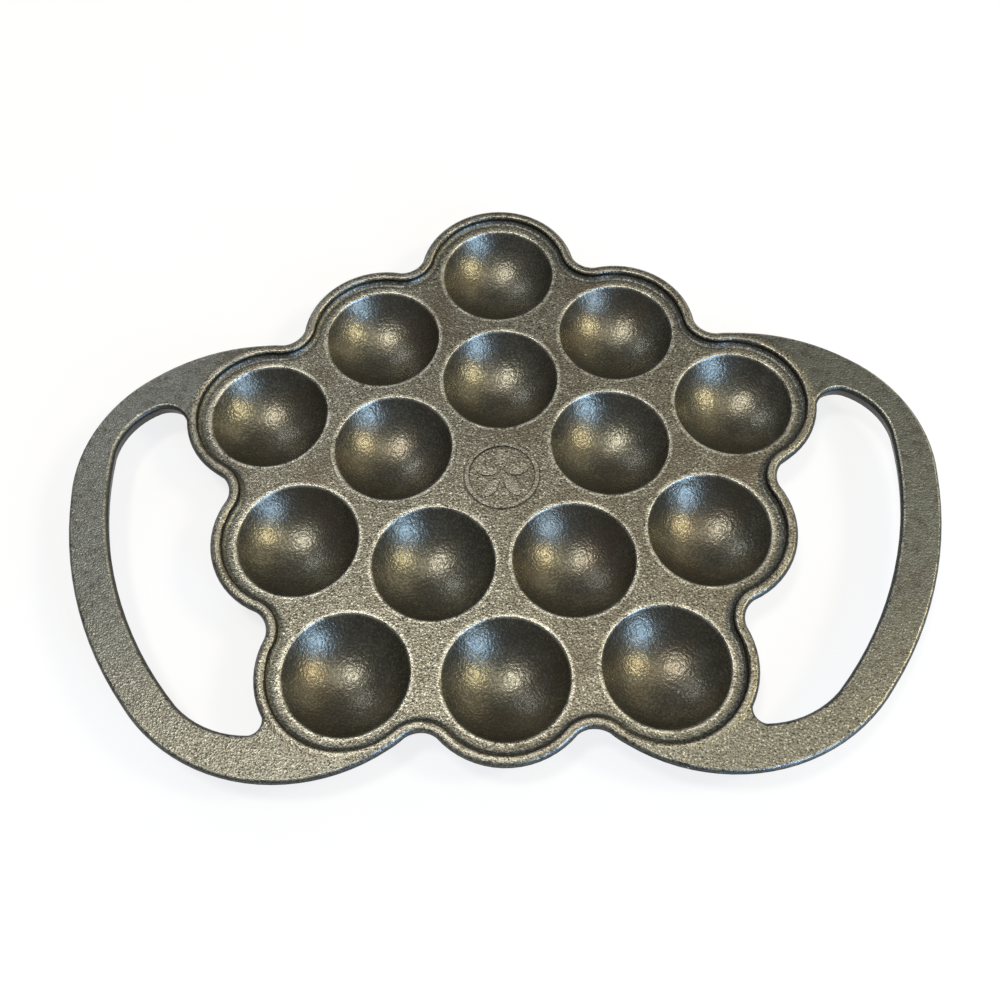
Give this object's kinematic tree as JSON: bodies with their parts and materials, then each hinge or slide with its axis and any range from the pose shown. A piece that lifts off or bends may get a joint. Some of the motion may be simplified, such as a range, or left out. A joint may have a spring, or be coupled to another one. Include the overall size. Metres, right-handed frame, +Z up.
{
  "type": "poffertjes pan",
  "caption": "Flat cast pan with round wells for small pancakes, a lobed raised rim and a wide loop handle at each side.",
  "frame": {"origin": "centre of the bounding box, at the height of the surface that the feet stand on", "axes": "+X to the right across the two handles, +Y from the front to the back, +Z up"},
  "size_m": [0.3568, 0.266, 0.0206],
  "materials": {
    "iron": "seasoned, satin, fine cast grain"
  },
  "bodies": {
    "root": {"pan": "iron"}
  },
  "joints": []
}
